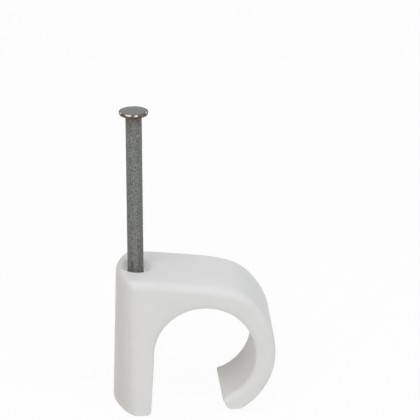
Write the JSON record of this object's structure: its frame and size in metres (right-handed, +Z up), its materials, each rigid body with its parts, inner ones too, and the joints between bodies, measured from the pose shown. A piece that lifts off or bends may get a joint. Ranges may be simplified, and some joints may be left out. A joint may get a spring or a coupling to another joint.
{
  "type": "nail cable clip",
  "caption": "White moulded hook clip for a round cable, with a flat-headed steel nail standing ready in its post.",
  "frame": {"origin": "under the middle of the part, on the wall face of the foot", "axes": "+Z up out of the wall along the nail, +X from the nail's post towards the hook, +Y along the cable"},
  "size_m": [0.0201, 0.0098, 0.0388],
  "materials": {
    "moulded_white_plastic": "satin as moulded",
    "bright_hardened_steel": "zinc plated, mottled"
  },
  "bodies": {
    "clip": {"clip_body": "moulded_white_plastic"},
    "fixing": {"nail": "bright_hardened_steel"}
  },
  "joints": [
    {"name": "nail_drive", "type": "slide", "parent": "clip", "child": "fixing", "axis": [0, 0, -1], "range_m": [0, 0.02]}
  ]
}
